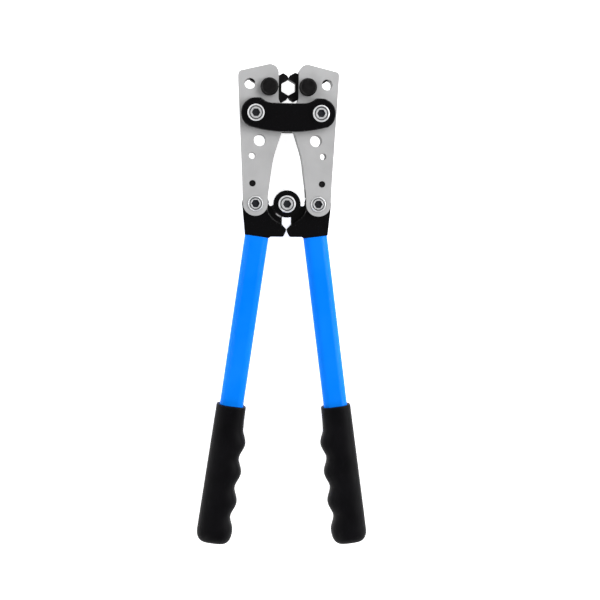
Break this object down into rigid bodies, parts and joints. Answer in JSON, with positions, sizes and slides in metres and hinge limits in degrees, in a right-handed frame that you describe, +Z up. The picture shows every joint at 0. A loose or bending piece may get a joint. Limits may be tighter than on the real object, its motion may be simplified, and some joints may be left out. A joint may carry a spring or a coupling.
{
  "type": "crimping tool",
  "caption": "Compound-lever crimping tool with two turning hexagon die turrets in linked jaws, tube handles and contoured soft grips.",
  "frame": {"origin": "middle of the bounding box, on the surface that the tool lies on", "axes": "+X across the tool to its right-hand handle, +Y from the grips to the jaws, +Z up out of the front face"},
  "size_m": [0.141, 0.3929, 0.0371],
  "materials": {
    "jaw_steel": "blasted and plated satin grey steel",
    "black_paint": "gloss black paint on forged steel",
    "blue_paint": "gloss azure enamel",
    "grip_vinyl": "matt black soft vinyl",
    "black_oxide": "oiled black oxide on tool steel",
    "zinc_plate": "bright zinc plate with turning marks",
    "hard_steel": "ground hardened steel",
    "bronze": "oiled sintered bronze"
  },
  "bodies": {
    "link": {"link_front_plate": "black_paint", "link_back_plate": "black_paint", "left_link_bolt": "zinc_plate", "left_link_nut": "zinc_plate", "right_link_bolt": "zinc_plate", "right_link_nut": "zinc_plate"},
    "left_jaw": {"left_jaw_front_plate": "jaw_steel", "left_jaw_back_plate": "jaw_steel", "left_jaw_core": "jaw_steel", "left_jaw_rivet": "black_oxide", "left_link_bush": "bronze", "left_tail_bolt": "zinc_plate", "left_tail_nut": "zinc_plate", "left_detent_body": "zinc_plate", "left_detent_ball": "hard_steel", "left_detent_spring": "hard_steel"},
    "left_die": {"left_die_turret": "black_oxide", "left_die_spindle": "hard_steel", "left_die_knob": "black_oxide", "left_spindle_clip": "hard_steel"},
    "left_handle": {"left_handle_head": "black_paint", "left_handle_tube": "blue_paint", "left_grip": "grip_vinyl", "left_tail_bush": "bronze", "centre_bolt": "zinc_plate", "centre_nut": "zinc_plate"},
    "right_jaw": {"right_jaw_front_plate": "jaw_steel", "right_jaw_back_plate": "jaw_steel", "right_jaw_core": "jaw_steel", "right_jaw_rivet": "black_oxide", "right_link_bush": "bronze", "right_tail_bolt": "zinc_plate", "right_tail_nut": "zinc_plate", "right_detent_body": "zinc_plate", "right_detent_ball": "hard_steel", "right_detent_spring": "hard_steel"},
    "right_die": {"right_die_turret": "black_oxide", "right_die_spindle": "hard_steel", "right_die_knob": "black_oxide", "right_spindle_clip": "hard_steel"},
    "right_handle": {"right_handle_head": "black_paint", "right_handle_tube": "blue_paint", "right_grip": "grip_vinyl", "right_tail_bush": "bronze"}
  },
  "joints": [
    {"name": "left_jaw_pivot", "type": "hinge", "parent": "link", "child": "left_jaw", "pos_m": [-0.026, 0.15761, 0.0187], "axis": [0, 0, 1], "range_deg": [0, 7.21]},
    {"name": "left_handle_pivot", "type": "hinge", "parent": "left_jaw", "child": "left_handle", "pos_m": [-0.0253, 0.08531, 0.0187], "axis": [0, 0, -1], "range_deg": [0, 57.19]},
    {"name": "left_die_turn", "type": "hinge", "parent": "left_jaw", "child": "left_die", "pos_m": [-0.0154, 0.17851, 0.0187], "axis": [0, 0, 1], "range_deg": [-180, 180]},
    {"name": "right_jaw_pivot", "type": "hinge", "parent": "link", "child": "right_jaw", "pos_m": [0.026, 0.15761, 0.0187], "axis": [0, 0, -1], "range_deg": [0, 7.21]},
    {"name": "right_handle_pivot", "type": "hinge", "parent": "right_jaw", "child": "right_handle", "pos_m": [0.0253, 0.08531, 0.0187], "axis": [0, 0, 1], "range_deg": [0, 57.23]},
    {"name": "right_die_turn", "type": "hinge", "parent": "right_jaw", "child": "right_die", "pos_m": [0.0154, 0.17851, 0.0187], "axis": [0, 0, 1], "range_deg": [-180, 180]}
  ],
  "couplings": [
    {"joint": "right_handle_pivot", "follows": "left_handle_pivot", "ratio": 1},
    {"joint": "left_jaw_pivot", "follows": "left_handle_pivot", "ratio": 0.12563},
    {"joint": "right_jaw_pivot", "follows": "left_handle_pivot", "ratio": 0.12563}
  ]
}
